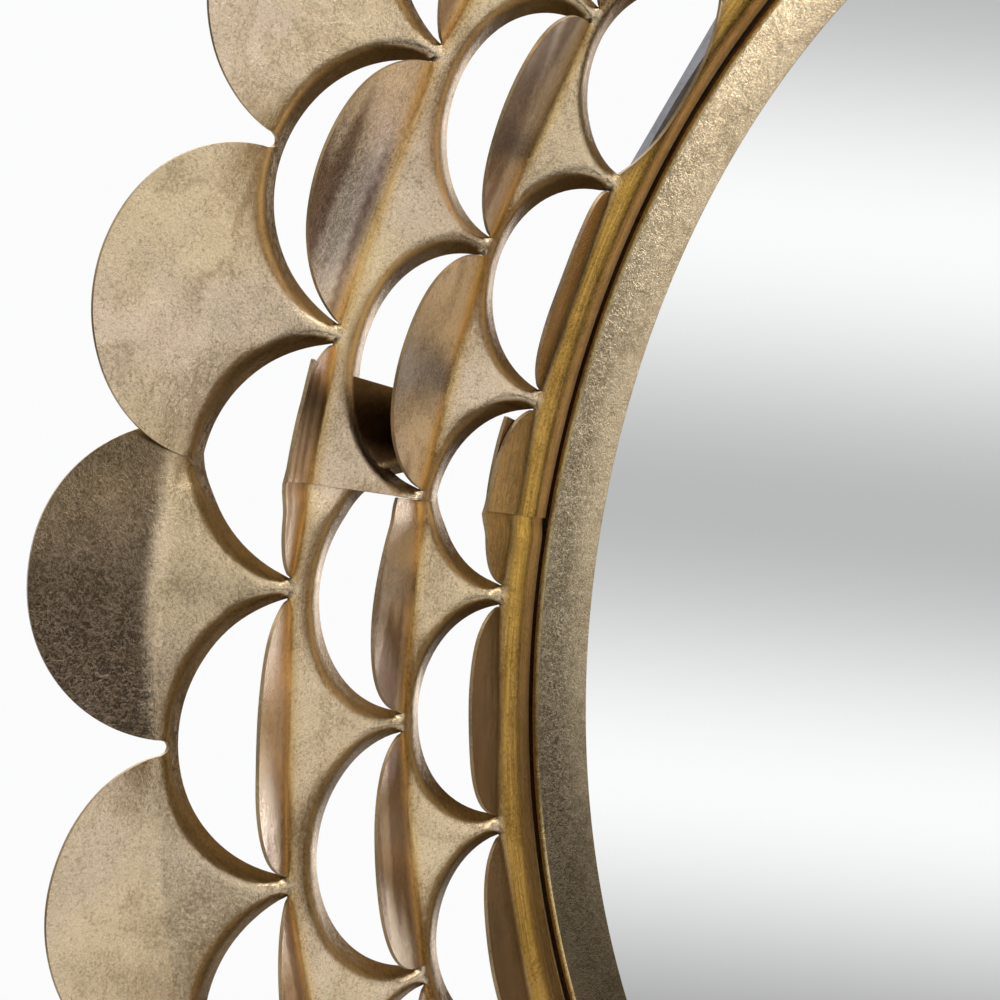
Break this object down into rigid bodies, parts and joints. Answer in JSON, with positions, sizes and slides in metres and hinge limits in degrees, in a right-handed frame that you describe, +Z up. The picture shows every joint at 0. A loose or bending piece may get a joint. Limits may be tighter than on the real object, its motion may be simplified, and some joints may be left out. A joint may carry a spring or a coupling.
{
  "type": "flower wall mirror",
  "caption": "Round wall mirror in a flat ring, with a flower of lapped sheet sectors punched and bent into rows of petals, hung by two rings on the back.",
  "frame": {"origin": "on the mirror's axis, on the back face of the backing board", "axes": "+Y along the mirror's axis, out of its back towards the wall; the front faces -Y; +Z up; +X to the right seen from the front"},
  "size_m": [0.9115, 0.0647, 0.9087],
  "materials": {
    "gold_leaf": "antiqued gold leaf on iron sheet",
    "mirror_glass": "silvered glass",
    "board": "raw fibre board",
    "grey_iron": "grey primed iron",
    "plated_steel": "dull zinc plate",
    "pad_foam": "matt foam",
    "bumper_rubber": "matt rubber"
  },
  "bodies": {
    "mirror": {"mirror_ring": "gold_leaf", "glass_pads": "pad_foam", "mirror_glass": "mirror_glass", "backing_board": "board", "support_hoop": "grey_iron", "board_tabs": "grey_iron", "wall_bumpers": "bumper_rubber", "hanger_bar_left": "grey_iron", "hanger_bar_right": "grey_iron", "hanger_strap_left": "plated_steel", "hanger_strap_right": "plated_steel", "flower_sector_1": "gold_leaf", "flower_sector_2": "gold_leaf", "flower_sector_3": "gold_leaf", "flower_sector_4": "gold_leaf", "flower_sector_5": "gold_leaf"},
    "hanging_ring_left": {"hanging_ring_left": "plated_steel"},
    "hanging_ring_right": {"hanging_ring_right": "plated_steel"}
  },
  "joints": [
    {"name": "hanging_ring_left_swing", "type": "hinge", "parent": "mirror", "child": "hanging_ring_left", "pos_m": [-0.23123, 0.0062, 0.1425], "axis": [1, 0, 0], "range_deg": [0, 180]},
    {"name": "hanging_ring_right_swing", "type": "hinge", "parent": "mirror", "child": "hanging_ring_right", "pos_m": [0.23123, 0.0062, 0.1425], "axis": [1, 0, 0], "range_deg": [0, 180]}
  ]
}
